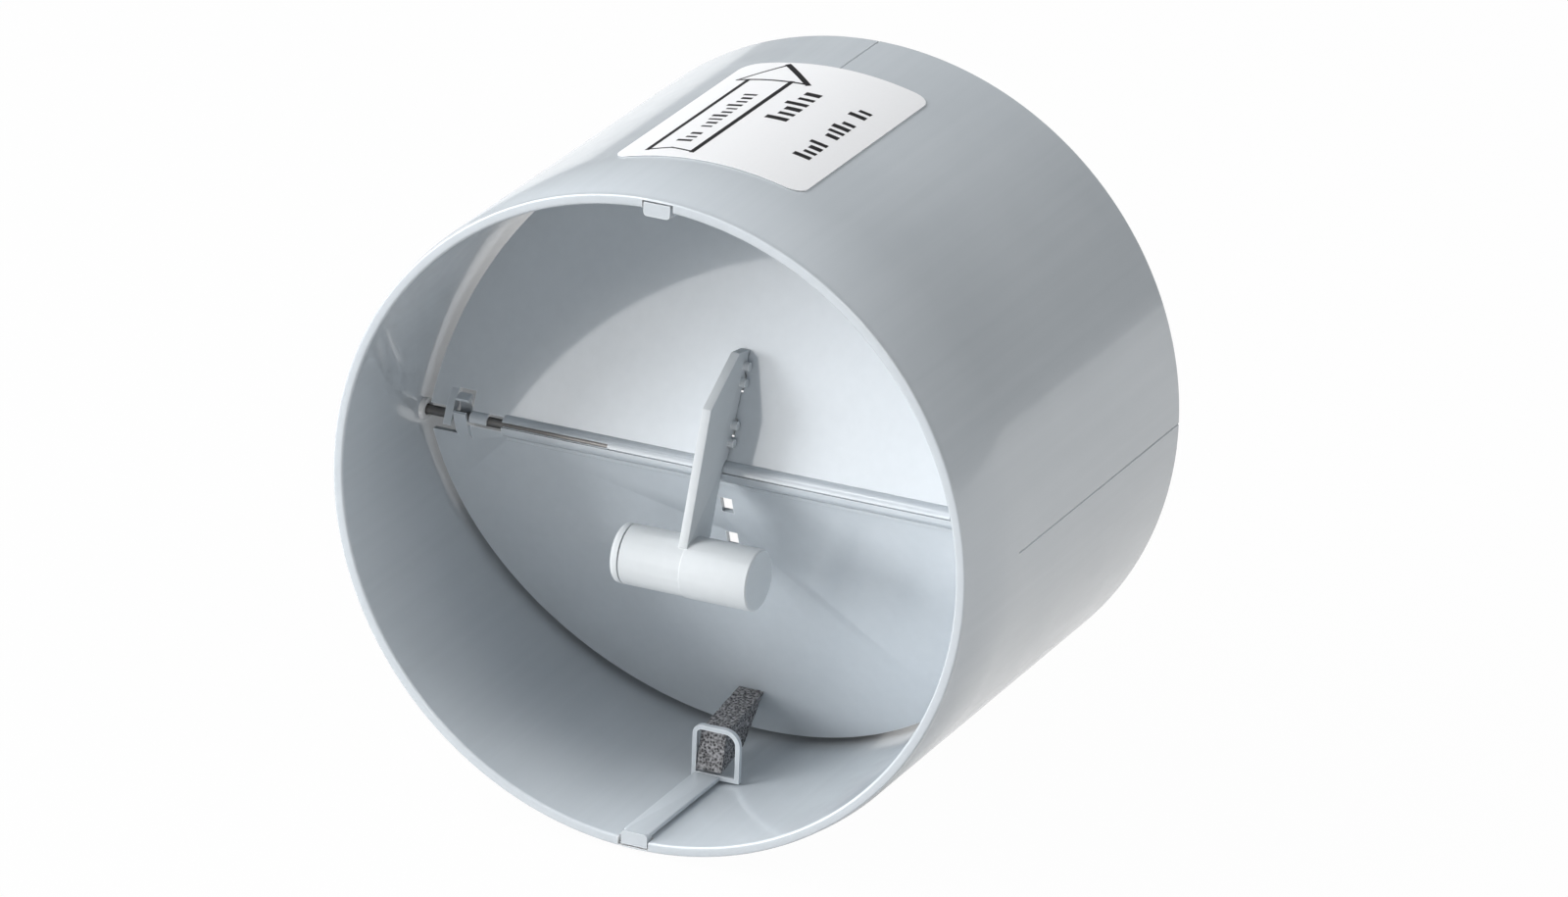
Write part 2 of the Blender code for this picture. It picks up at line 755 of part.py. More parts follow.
def build_foam(name, tilt, material, parent):
    def flap_face(z):
        return hinge_y + abs(z) * math.tan(tilt) - (half_thickness + seat_gap) / math.cos(tilt)

    back_high = -foam_high + foam_rise
    sides = []
    for x, shift in ((-foam_left, foam_skew), (foam_right, foam_skew)):
        back_x = x - shift
        sides.append(
            [
                (x, foam_front_low, -foam_low),
                (back_x, foam_back_low, -foam_low + foam_back_lift),
                (back_x, flap_face(back_high), back_high),
                (x, foam_front_high, -foam_high),
            ]
        )
    builder = bmesh.new()
    near = [builder.verts.new(point) for point in sides[0]]
    far = [builder.verts.new(point) for point in sides[1]]
    builder.faces.new(near)
    builder.faces.new(list(reversed(far)))
    for index in range(4):
        following = (index + 1) % 4
        builder.faces.new((near[index], far[index], far[following], near[following]))
    return make_object(name, builder, material, parent)


# Label, a thin printed sheet glued round the top of the tube

def build_label(material):
    inner = tube_outer_radius + glue_gap
    outer = inner + label_thickness
    start = inlet_y + label_from_inlet
    end = start + label_length
    profile = [(inner, start), (outer, start), (outer, end), (inner, end)]
    sheet = spin_about_y(profile, label_facets, -label_half_angle, 2 * label_half_angle)
    label = make_object("flow_label", sheet, material)
    half_width = outer * math.sin(label_half_angle)
    corners = [
        ((-half_width, start), math.pi, math.pi / 2 * 3),
        ((half_width, start), math.pi / 2 * 3, math.pi * 2),
        ((half_width, end), 0.0, math.pi / 2),
        ((-half_width, end), math.pi / 2, math.pi),
    ]
    outline = []
    for (x, y), first, last in corners:
        centre = (x - math.copysign(label_corner, x), y + (label_corner if y == start else -label_corner))
        outline += arc_points(centre, label_corner, first, last, 5)
    builder = bmesh.new()
    base = [builder.verts.new((x, y, tube_outer_radius - label_trim_reach)) for x, y in outline]
    face = builder.faces.new(base)
    grown = bmesh.ops.extrude_face_region(builder, geom=[face])
    moved = [item for item in grown["geom"] if isinstance(item, bmesh.types.BMVert)]
    bmesh.ops.translate(builder, verts=moved, vec=(0.0, 0.0, 2 * label_trim_reach))
    combine(label, make_tool("label_cutter", builder), "INTERSECT")
    return label


def make_axis(name, rotation, location=(0.0, 0.0, 0.0)):
    axis = bpy.data.objects.new(name, None)
    axis.location = location
    axis.rotation_euler = rotation
    bpy.context.scene.collection.objects.link(axis)
    return axis


def main():
    clear_scene()
    plastic = make_material("grey_plastic", (0.52, 0.56, 0.60), 0.22)
    flap_plastic = make_material("flap_plastic", (0.54, 0.58, 0.62), 0.25)
    arm_plastic = make_material("arm_plastic", (0.72, 0.75, 0.77), 0.3)
    steel = make_material("steel", (0.35, 0.36, 0.37), 0.3, 1.0)
    foam = make_material("foam", (0.05, 0.05, 0.055), 0.95)
    paper = make_material("label_film", (0.82, 0.83, 0.84), 0.4)

    hinge_place = (0.0, hinge_y, 0.0)
    upper_axis = make_axis("upper_flap_axis", (-upper_tilt, 0.0, 0.0), hinge_place)
    lower_axis = make_axis("lower_flap_axis", (-lower_tilt, math.pi, 0.0), hinge_place)
    bottom = make_axis("bottom_of_tube", (0.0, 0.0, 0.0))
    top = make_axis("top_of_tube", (0.0, math.pi, 0.0))

    build_tube(plastic)
    build_rod(steel)
    build_flap("upper", flap_plastic, upper_axis)
    build_flap("lower", flap_plastic, lower_axis)
    build_arm(arm_plastic, upper_axis)
    build_slug(steel, upper_axis)
    build_cap(arm_plastic, upper_axis)
    build_rail("bottom_stop_rail", plastic, bottom)
    build_rail("top_stop_rail", plastic, top)
    build_foam("bottom_foam_stop", lower_tilt, foam, bottom)
    build_foam("top_foam_stop", upper_tilt, foam, top)
    build_label(paper)


main()
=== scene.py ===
import math

import bmesh
import bpy
from mathutils import Matrix, Vector


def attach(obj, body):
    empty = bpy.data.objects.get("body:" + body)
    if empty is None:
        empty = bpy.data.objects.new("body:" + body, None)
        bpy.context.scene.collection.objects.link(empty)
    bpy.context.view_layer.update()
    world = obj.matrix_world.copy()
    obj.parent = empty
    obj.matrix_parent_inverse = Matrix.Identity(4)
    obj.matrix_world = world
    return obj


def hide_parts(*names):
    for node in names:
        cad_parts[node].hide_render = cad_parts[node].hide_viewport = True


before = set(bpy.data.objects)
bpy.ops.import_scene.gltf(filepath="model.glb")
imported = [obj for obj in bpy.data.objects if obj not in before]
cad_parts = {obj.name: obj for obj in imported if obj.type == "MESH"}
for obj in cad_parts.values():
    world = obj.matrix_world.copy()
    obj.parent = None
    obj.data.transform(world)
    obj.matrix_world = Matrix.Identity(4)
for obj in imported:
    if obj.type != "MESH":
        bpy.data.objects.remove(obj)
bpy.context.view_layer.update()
mm = 0.001
mergeDistance = 0.002 * mm
closeDistance = 0.0005 * mm
flatAngle = 0.4  # degrees, faces that turn less than this become one
hardAngle = 32.0  # degrees, sharper edges stay sharp or get a bevel


# Small helpers

def addNode(tree, kind, **settings):
    node = tree.nodes.new(kind)
    for name, value in settings.items():
        setattr(node, name, value)
    return node


def join(tree, source, target):
    tree.links.new(source, target)


def calc(tree, operation, *values):  # one Math node; numbers and sockets may be mixed
    node = addNode(tree, "ShaderNodeMath", operation=operation)
    for socket, value in zip(node.inputs, values):
        if isinstance(value, (int, float)):
            socket.default_value = value
        else:
            join(tree, value, socket)
    return node.outputs[0]


def addObject(name, data):
    item = bpy.data.objects.new(name, data)
    bpy.context.scene.collection.objects.link(item)
    return item


def plainMesh(item):  # bake the modifiers into the mesh and drop them
    bpy.context.view_layer.update()
    evaluated = item.evaluated_get(bpy.context.evaluated_depsgraph_get())
    mesh = bpy.data.meshes.new_from_object(evaluated)
    item.modifiers.clear()
    item.data = mesh
    mesh.name = item.name
    return item


def direction(place):  # towards a camera or lamp, 0 degrees is before the inlet and 90 on the right
    azimuth = math.radians(place["azimuth"])
    elevation = math.radians(place["elevation"])
    return Vector((
        math.sin(azimuth) * math.cos(elevation),
        -math.cos(azimuth) * math.cos(elevation),
        math.sin(elevation),
    ))


def smooth(item, angle=hardAngle):
    item.data.shade_smooth()
    item.data.set_sharp_from_angle(angle=math.radians(angle))


def boxMesh(low, high):
    builder = bmesh.new()
    bmesh.ops.create_cube(builder, size=1.0)
    for vertex in builder.verts:
        vertex.co = Vector(low[i] + (vertex.co[i] + 0.5) * (high[i] - low[i]) for i in range(3))
    return finishedMesh(builder, "box")


def finishedMesh(builder, name):
    bmesh.ops.recalc_face_normals(builder, faces=builder.faces)
    mesh = bpy.data.meshes.new(name)
    builder.to_mesh(mesh)
    builder.free()
    return mesh


def prismAlongX(outline, startX, endX):  # outline is a list of (y, z)
    builder = bmesh.new()
    face = builder.faces.new([builder.verts.new((startX, y, z)) for y, z in outline])
    grown = bmesh.ops.extrude_face_region(builder, geom=[face])
    moved = [part for part in grown["geom"] if isinstance(part, bmesh.types.BMVert)]
    bmesh.ops.translate(builder, verts=moved, vec=(endX - startX, 0.0, 0.0))
    return finishedMesh(builder, "prism")


def arc(centre, radius, start, end, steps):
    angles = [start + (end - start) * step / steps for step in range(steps + 1)]
    return [(centre[0] + radius * math.cos(a), centre[1] + radius * math.sin(a)) for a in angles]


def cutOrAdd(item, mesh, operation):  # a Boolean step with a shape that is used once
    tool = addObject("tool", mesh)
    modifier = item.modifiers.new("shape", "BOOLEAN")
    modifier.operation = operation
    modifier.solver = "EXACT"
    modifier.object = tool
    plainMesh(item)
    bpy.data.objects.remove(tool, do_unlink=True)


# Camera, at the photograph's viewing angle

cameraView = {
    "azimuth": 24.65,
    "elevation": 21.95,
    "roll": 1.925,
    "distance": 1977.3 * mm,
    "aside": 24.4 * mm,
    "above": 14.1 * mm,
    "lens": 258.58,
    "sensor": 36.0,
    "nearest": 0.1,
    "farthest": 10.0,
}


def buildCamera(view):
    roll = math.radians(view["roll"])
    back = direction(view)
    level = (-back).cross(Vector((0, 0, 1))).normalized()
    upright = level.cross(-back)
    right = level * math.cos(roll) + upright * math.sin(roll)
    up = upright * math.cos(roll) - level * math.sin(roll)
    camera = addObject("portraitCamera", bpy.data.cameras.new("portraitCamera"))
    place = Matrix((right, up, back)).transposed().to_4x4()
    place.translation = right * view["aside"] + up * view["above"] + back * view["distance"]
    camera.matrix_world = place
    camera.data.sensor_width = view["sensor"]
    camera.data.lens = view["lens"]
    camera.data.clip_start = view["nearest"]
    camera.data.clip_end = view["farthest"]
    bpy.context.scene.camera = camera


# Materials

noiseLow, noiseHigh = 0.3, 0.7  # nearly all of a noise texture lies between these


def startMaterial(name):
    material = bpy.data.materials.new(name)
    material.use_nodes = True
    tree = material.node_tree
    return material, tree, tree.nodes["Principled BSDF"]


def objectPlace(tree, scale=None):  # object coordinates, stretched where a scale is given
    place = addNode(tree, "ShaderNodeTexCoord").outputs["Object"]
    if scale is None:
        return place
    stretched = addNode(tree, "ShaderNodeMapping")
    stretched.inputs["Scale"].default_value = scale
    join(tree, place, stretched.inputs["Vector"])
    return stretched.outputs["Vector"]


def noise(tree, place, scale, detail):
    texture = addNode(tree, "ShaderNodeTexNoise")
    texture.inputs["Scale"].default_value = scale
    texture.inputs["Detail"].default_value = detail
    join(tree, place, texture.inputs["Vector"])
    return texture.outputs["Fac"]


def ranged(tree, value, source, target):  # source and target are pairs
    node = addNode(tree, "ShaderNodeMapRange")
    node.inputs["From Min"].default_value = source[0]
    node.inputs["From Max"].default_value = source[1]
    node.inputs["To Min"].default_value = target[0]
    node.inputs["To Max"].default_value = target[1]
    join(tree, value, node.inputs["Value"])
    return node.outputs["Result"]


def blended(tree, share, first, second):  # each is a colour or a socket
    node = addNode(tree, "ShaderNodeMix", data_type="RGBA")
    for socket, colour in ((node.inputs["A"], first), (node.inputs["B"], second)):
        if isinstance(colour, tuple):
            socket.default_value = (*colour, 1)
        else:
            join(tree, colour, socket)
    join(tree, share, node.inputs["Factor"])
    return node.outputs["Result"]


def addRelief(tree, shader, height, strength, depth):
    bump = addNode(tree, "ShaderNodeBump")
    bump.inputs["Strength"].default_value = strength
    bump.inputs["Distance"].default_value = depth
    join(tree, height, bump.inputs["Height"])
    join(tree, bump.outputs["Normal"], shader.inputs["Normal"])


def finishFrom(tree, shader, pattern, look):  # colour, roughness and relief follow one pattern
    colour = blended(tree, pattern, look["colourLow"], look["colourHigh"])
    join(tree, colour, shader.inputs["Base Color"])
    join(tree, ranged(tree, pattern, (0.0, 1.0), look["roughness"]), shader.inputs["Roughness"])
    addRelief(tree, shader, pattern, look["reliefStrength"], look["reliefDepth"])


def mouldedPlastic(name, look):
    material, tree, shader = startMaterial(name)
    shader.inputs["IOR"].default_value = look["ior"]
    shader.inputs["Specular IOR Level"].default_value = look["gloss"]
    shader.inputs["Coat Weight"].default_value = look["coat"]
    shader.inputs["Coat Roughness"].default_value = look["coatRoughness"]
    place = objectPlace(tree)

    # a slow drift of the pigment, with faint streaks along the way the plastic ran
    tone = noise(tree, place, scale=look["toneScale"], detail=3.0)
    streak = noise(tree, objectPlace(tree, look["streakScale"]), scale=1.0, detail=4.0)
    both = calc(tree, "ADD", tone, calc(tree, "MULTIPLY", streak, look["streakShare"]))
    reach = 1 + look["streakShare"]
    drift = ranged(tree, both, (noiseLow * reach, noiseHigh * reach), (0.0, 1.0))
    colour = blended(tree, drift, look["colourLow"], look["colourHigh"])

    # edges are painted lighter: a painted highlight along the rounded edges, where they catch the light
    rounded = addNode(tree, "ShaderNodeBevel", samples=4)
    rounded.inputs["Radius"].default_value = look["edgeWidth"]
    geometry = addNode(tree, "ShaderNodeNewGeometry")
    agreement = addNode(tree, "ShaderNodeVectorMath", operation="DOT_PRODUCT")
    join(tree, rounded.outputs["Normal"], agreement.inputs[0])
    join(tree, geometry.outputs["Normal"], agreement.inputs[1])
    paintedEdgeHighlight = ranged(tree, agreement.outputs["Value"], look["edgeHighlightTurn"], (0.0, look["edgeHighlightShare"]))
    join(tree, blended(tree, paintedEdgeHighlight, colour, look["edgeHighlightColour"]), shader.inputs["Base Color"])

    polish = noise(tree, place, scale=look["polishScale"], detail=2.0)
    roughness = ranged(tree, polish, (noiseLow, noiseHigh), look["roughness"])
    join(tree, roughness, shader.inputs["Roughness"])
    grain = noise(tree, place, scale=look["grainScale"], detail=2.0)
    addRelief(tree, shader, grain, look["grainStrength"], look["grainHeight"])
    return material


def rodSteel(look):
    material, tree, shader = startMaterial("rodSteel")
    shader.inputs["Metallic"].default_value = 1.0
    lines = noise(tree, objectPlace(tree, look["drawnScale"]), scale=1.0, detail=4.0)
    finishFrom(tree, shader, lines, look)
    return material


def printedFilm(name, look):
    material, tree, shader = startMaterial(name)
    shader.inputs["Specular IOR Level"].default_value = look["gloss"]
    fibres = noise(tree, objectPlace(tree), scale=look["fibreScale"], detail=5.0)
    finishFrom(tree, shader, fibres, look)
    return material


def cellFoam(look):
    material, tree, shader = startMaterial("cellFoam")
    shader.inputs["Roughness"].default_value = look["roughness"]
    shader.inputs["Specular IOR Level"].default_value = look["gloss"]
    place = objectPlace(tree)
    cells = addNode(tree, "ShaderNodeTexVoronoi")
    cells.inputs["Scale"].default_value = look["cellScale"]
    join(tree, place, cells.inputs["Vector"])
    speck = noise(tree, place, scale=look["speckScale"], detail=3.0)
    # each cell is painted darker towards its middle, a painted shade in the pits; the same pattern gives
    # the relief
    depth = calc(tree, "MULTIPLY", cells.outputs["Distance"], speck)
    ramp = addNode(tree, "ShaderNodeValToRGB")
    ends = ramp.color_ramp.elements
    for end, position, colour in zip(ends, look["spread"], (look["colourLow"], look["colourHigh"])):
        end.position = position
        end.color = (*colour, 1)
    join(tree, depth, ramp.inputs["Fac"])
    join(tree, ramp.outputs["Color"], shader.inputs["Base Color"])
    addRelief(tree, shader, depth, look["cellStrength"], look["cellDepth"])
    return material


tubeLook = {
    "colourLow": (0.47, 0.51, 0.545),
    "colourHigh": (0.53, 0.57, 0.605),
    "toneScale": 22.0,
    "streakScale": (520.0, 9.0, 520.0),
    "streakShare": 0.5,
    # a lighter colour painted on the edges, a painted highlight
    "edgeHighlightColour": (0.80, 0.83, 0.86),
    "edgeWidth": 0.35 * mm,
    "edgeHighlightTurn": (0.97, 0.75),  # how far the normals agree where the painted edge highlight starts and where it is full
    "edgeHighlightShare": 0.7,
    "roughness": (0.20, 0.265),
    "polishScale": 160.0,
    "grainScale": 1500.0,
    "grainStrength": 0.12,
    "grainHeight": 0.02 * mm,
    "ior": 1.5,
    "gloss": 0.5,
    "coat": 0.35,
    "coatRoughness": 0.06,
}

flapLook = {
    **tubeLook,
    "colourLow": (0.50, 0.545, 0.585),
    "colourHigh": (0.55, 0.595, 0.635),
    "roughness": (0.28, 0.34),
    "grainScale": 2200.0,
    "grainStrength": 0.15,
    "coat": 0.9,
    "coatRoughness": 0.06,
}

armLook = {
    **tubeLook,
    "colourLow": (0.56, 0.59, 0.61),
    "colourHigh": (0.60, 0.63, 0.65),
    # the arm's edges get a brighter painted highlight
    "edgeHighlightColour": (0.88, 0.90, 0.92),
    "roughness": (0.46, 0.56),
    "gloss": 0.1,
    "coat": 0.0,
    "coatRoughness": 0.2,
}

steelLook = {
    "colourLow": (0.16, 0.155, 0.15),
    "colourHigh": (0.25, 0.24, 0.23),
    "drawnScale": (60.0, 2600.0, 2600.0),
    "roughness": (0.42, 0.58),
    "reliefStrength": 0.4,
    "reliefDepth": 0.01 * mm,
}

foamLook = {
    # near black in the cells' hollows: painted shade
    "colourLow": (0.02, 0.02, 0.022),
    "colourHigh": (0.34, 0.34, 0.35),
    "cellScale": 1900.0,
    "speckScale": 2600.0,
    "spread": (0.08, 0.42),
    "cellStrength": 0.8,
    "cellDepth": 0.25 * mm,
    "roughness": 0.9,
    "gloss": 0.2,
}

filmLook = {
    "colourLow": (0.76, 0.77, 0.785),
    "colourHigh": (0.80, 0.81, 0.825),
    "fibreScale": 1800.0,
    "reliefStrength": 0.3,
    "reliefDepth": 0.01 * mm,
    "roughness": (0.35, 0.45),
    "gloss": 0.4,
}

inkLook = {
    "colourLow": (0.010, 0.010, 0.011),
    "colourHigh": (0.022, 0.022, 0.024),
    "fibreScale": 2400.0,
    "reliefStrength": 0.3,
    "reliefDepth": 0.01 * mm,
    "roughness": (0.4, 0.55),
    "gloss": 0.4,
}

tubePlastic = mouldedPlastic("tubePlastic", tubeLook)
flapPlastic = mouldedPlastic("flapPlastic", flapLook)
armPlastic = mouldedPlastic("armPlastic", armLook)
steel = rodSteel(steelLook)
foam = cellFoam(foamLook)
film = printedFilm("labelFilm", filmLook)
ink = printedFilm("labelInk", inkLook)
print("materials made")


# Node trees for shapes

def startTree(name, sockets):  # a tree with these inputs, besides the geometry that it changes
    tree = bpy.data.node_groups.new(name, "GeometryNodeTree")
    face = tree.interface
    face.new_socket("Geometry", in_out="INPUT", socket_type="NodeSocketGeometry")
    for socketName, kind in sockets.items():
        face.new_socket(socketName, in_out="INPUT", socket_type="NodeSocket" + kind)
    face.new_socket("Geometry", in_out="OUTPUT", socket_type="NodeSocketGeometry")
    return tree, addNode(tree, "NodeGroupInput").outputs


def endTree(tree, geometry, finish):
    real = addNode(tree, "GeometryNodeRealizeInstances")
    join(tree, geometry, real.inputs["Geometry"])
    coloured = addNode(tree, "GeometryNodeSetMaterial")
    join(tree, real.outputs["Geometry"], coloured.inputs["Geometry"])
    join(tree, finish, coloured.inputs["Material"])
    join(tree, coloured.outputs["Geometry"], addNode(tree, "NodeGroupOutput").inputs["Geometry"])
    return tree


def positions(tree):
    return addNode(tree, "GeometryNodeInputPosition").outputs[0]


def named(tree, name, kind):
    attribute = addNode(tree, "GeometryNodeInputNamedAttribute", data_type=kind)
    attribute.inputs["Name"].default_value = name
    return attribute.outputs["Attribute"]


def sampled(tree, geometry, value, index, kind):
    sample = addNode(tree, "GeometryNodeSampleIndex", data_type=kind)
    join(tree, geometry, sample.inputs["Geometry"])
    join(tree, value, sample.inputs["Value"])
    join(tree, index, sample.inputs["Index"])
    return sample.outputs[0]


def splitPlace(tree, place):
    parts = addNode(tree, "ShaderNodeSeparateXYZ")
    join(tree, place, parts.inputs[0])
    return parts.outputs


def roundTube(tree, geometry, radius, angle, along):  # puts each point at this radius and angle
    place = addNode(tree, "ShaderNodeCombineXYZ")
    join(tree, calc(tree, "MULTIPLY", radius, calc(tree, "SINE", angle)), place.inputs["X"])
    join(tree, along, place.inputs["Y"])
    join(tree, calc(tree, "MULTIPLY", radius, calc(tree, "COSINE", angle)), place.inputs["Z"])
    bent = addNode(tree, "GeometryNodeSetPosition")
    join(tree, geometry, bent.inputs["Geometry"])
    join(tree, place.outputs[0], bent.inputs["Position"])
    return bent.outputs["Geometry"]


# Tube: a profile turned once round by a node tree, with the seams that the mould left outside

tubeSizes = {
    "outerRadius": 62.0 * mm,
    "innerRadius": 59.8 * mm,
    "length": 92.8 * mm,
    "innerRounding": 0.5 * mm,
    "outerRounding": 0.35 * mm,
    "rimRelief": 0.3 * mm,
    "bandLength": 1.7 * mm,
    "rampLength": 0.7 * mm,
    "seamStart": 22.5 * mm,
    "seamRise": 0.13 * mm,
    "seamDepth": 0.26 * mm,
    "seamHalfAngle": math.radians(0.19),
    "quarterColumns": 90,
    "cornerSteps": 5,
    "hingeFromRim": 31.5 * mm,
    "socketRadius": 2.0 * mm,
    "socketEdge": 0.3 * mm,
    "socketReach": 0.9 * mm,
    "socketSteps": 48,
    "ringOverlap": 0.2 * mm,
    "boreRadius": 1.1 * mm,
    "boreEnd": 61.1 * mm,
    "boreSteps": 40,
    "notchDepth": 2.3 * mm,
    "notchFloor": 61.3 * mm,
    "notchAside": 0.45 * mm,
    "notchHalfWidth": 2.55 * mm,
    "notchPlay": 0.3 * mm,
    "notchSlot": 0.6 * mm,
    "notchOverlap": 2.0 * mm,
}


def tubeProfile(sizes):  # (radius, y, depth of the mould seam there)
    inner, outer = sizes["innerRadius"], sizes["outerRadius"]
    length, relief = sizes["length"], sizes["rimRelief"]
    band = outer - relief
    rounding, corner = sizes["innerRounding"], sizes["outerRounding"]
    points = [(inner, length - rounding)]
    steps = sizes["cornerSteps"]
    points += arc((inner + rounding, rounding), rounding, math.pi, 1.5 * math.pi, steps)
    points += arc((band - corner, corner), corner, 1.5 * math.pi, 2 * math.pi, steps)
    points += [(band, sizes["bandLength"]), (outer, sizes["bandLength"] + sizes["rampLength"])]
    points = [(r, y, 0.0) for r, y in points]
    seamTop = sizes["seamStart"] + sizes["seamRise"]
    points += [(outer, sizes["seamStart"], 0.0), (outer, seamTop, sizes["seamDepth"])]
    points += [(outer, length - relief, sizes["seamDepth"])]
    points += [(outer - relief, length, 0.0)]
    lastMiddle = (inner + rounding, length - rounding)
    lastCorner = arc(lastMiddle, rounding, 0.5 * math.pi, math.pi, steps)
    points += [(r, y, 0.0) for r, y in lastCorner[:-1]]
    return points


def turnedTree():
    tree, given = startTree("turnedProfile", {
        "Rows": "Int",
        "Columns per quarter": "Int",
        "Seam half angle": "Float",
        "Finish": "Material",
    })
    perQuarter = given["Columns per quarter"]
    seamHalf = given["Seam half angle"]
    columns = calc(tree, "ADD", calc(tree, "MULTIPLY", perQuarter, 4.0), 1.0)
    rows = calc(tree, "ADD", given["Rows"], 1.0)
    sheet = addNode(tree, "GeometryNodeMeshGrid")
    join(tree, columns, sheet.inputs["Vertices X"])
    join(tree, rows, sheet.inputs["Vertices Y"])
    index = addNode(tree, "GeometryNodeInputIndex").outputs[0]
    column = calc(tree, "FLOOR", calc(tree, "DIVIDE", calc(tree, "ADD", index, 0.5), rows))
    row = calc(tree, "SUBTRACT", index, calc(tree, "MULTIPLY", column, rows))
    row = calc(tree, "MODULO", calc(tree, "ROUND", row), given["Rows"])

    quarter = calc(tree, "FLOOR", calc(tree, "DIVIDE", calc(tree, "ADD", column, 0.5), perQuarter))
    step = calc(tree, "SUBTRACT", column, calc(tree, "MULTIPLY", quarter, perQuarter))
    beside = calc(tree, "GREATER_THAN", step, 0.5)  # 0 on a seam, 1 off it
    span = calc(tree, "SUBTRACT", math.pi / 2, calc(tree, "MULTIPLY", seamHalf, 2.0))
    stepsBetween = calc(tree, "SUBTRACT", perQuarter, 2.0)
    share = calc(tree, "DIVIDE", calc(tree, "SUBTRACT", step, 1.0), stepsBetween)
    inside = calc(tree, "ADD", seamHalf, calc(tree, "MULTIPLY", span, share))
    turned = calc(tree, "MULTIPLY", quarter, math.pi / 2)
    angle = calc(tree, "ADD", turned, calc(tree, "MULTIPLY", beside, inside))

    profile = given["Geometry"]
    place = splitPlace(tree, sampled(tree, profile, positions(tree), row, "FLOAT_VECTOR"))
    depth = sampled(tree, profile, named(tree, "seamDepth", "FLOAT"), row, "FLOAT")
    groove = calc(tree, "MULTIPLY", depth, calc(tree, "SUBTRACT", 1.0, beside))
    radius = calc(tree, "SUBTRACT", place["X"], groove)
    bent = roundTube(tree, sheet.outputs["Mesh"], radius, angle, place["Y"])
    closed = addNode(tree, "GeometryNodeMergeByDistance")
    closed.inputs["Distance"].default_value = mergeDistance
    join(tree, bent, closed.inputs["Geometry"])
    return endTree(tree, closed.outputs["Geometry"], given["Finish"])


def setInputs(modifier, **values):  # by the socket's identifier, found from its name
    for item in modifier.node_group.interface.items_tree:
        if item.item_type == "SOCKET" and item.in_out == "INPUT" and item.name in values:
            modifier[item.identifier] = values[item.name]


def pointsOutward(item):
    builder = bmesh.new()
    builder.from_mesh(item.data)
    bmesh.ops.remove_doubles(builder, verts=builder.verts, dist=closeDistance)
    bmesh.ops.recalc_face_normals(builder, faces=builder.faces)
    builder.to_mesh(item.data)
    builder.free()


def buildTube(sizes):
    profile = tubeProfile(sizes)
    mesh = bpy.data.meshes.new("tubeProfile")
    mesh.from_pydata([(r, y, 0.0) for r, y, _ in profile], [], [])
    attribute = mesh.attributes.new("seamDepth", "FLOAT", "POINT")
    for number, (_, _, depth) in enumerate(profile):
        attribute.data[number].value = depth
    tube = addObject("tubeShell", mesh)
    turned = tube.modifiers.new("turned", "NODES")
    turned.node_group = turnedTree()
    setInputs(turned, **{
        "Rows": len(profile),
        "Columns per quarter": sizes["quarterColumns"],
        "Seam half angle": sizes["seamHalfAngle"],
        "Finish": tubePlastic,
    })
    plainMesh(tube)
    pointsOutward(tube)

    middle = (sizes["hingeFromRim"], 0.0)
    bore = arc(middle, sizes["boreRadius"], 0.0, 2 * math.pi, sizes["boreSteps"])[:-1]
    nearEnd = sizes["innerRadius"] - sizes["socketReach"]
    wallMiddle = (sizes["innerRadius"] + sizes["outerRadius"]) / 2
    for side in (-1, 1):
        rings = ((0.0, wallMiddle), (-sizes["socketEdge"], wallMiddle + sizes["ringOverlap"]))
        for edge, farEnd in rings:  # two rings, so that the socket's front edge is broken
            radius = sizes["socketRadius"] + edge
            socket = arc(middle, radius, 0.0, 2 * math.pi, sizes["socketSteps"])[:-1]
            ends = sorted((side * (nearEnd - edge), side * farEnd))
            cutOrAdd(tube, prismAlongX(socket, *ends), "UNION")
        ends = sorted((side * (nearEnd - mm), side * sizes["boreEnd"]))
        cutOrAdd(tube, prismAlongX(bore, *ends), "DIFFERENCE")
    for side in (-1, 1):
        middle = side * sizes["notchAside"]
        reach = {side: sizes["notchSlot"], -side: sizes["notchPlay"]}
        nearest = sizes["innerRadius"] - sizes["notchOverlap"]
        heights = sorted((side * nearest, side * sizes["notchFloor"]))
        notchLow = (middle - sizes["notchHalfWidth"] - reach[-1], -mm, heights[0])
        notchHigh = (middle + sizes["notchHalfWidth"] + reach[1], sizes["notchDepth"], heights[1])
        cutOrAdd(tube, boxMesh(notchLow, notchHigh), "DIFFERENCE")
    smooth(tube)
    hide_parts("housing_tube")
    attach(tube, "housing")
    print("tube made,", len(tube.data.polygons), "faces")
    return tube


# Pieces whose shape the frame already has: merged, their hard edges broken, and finished

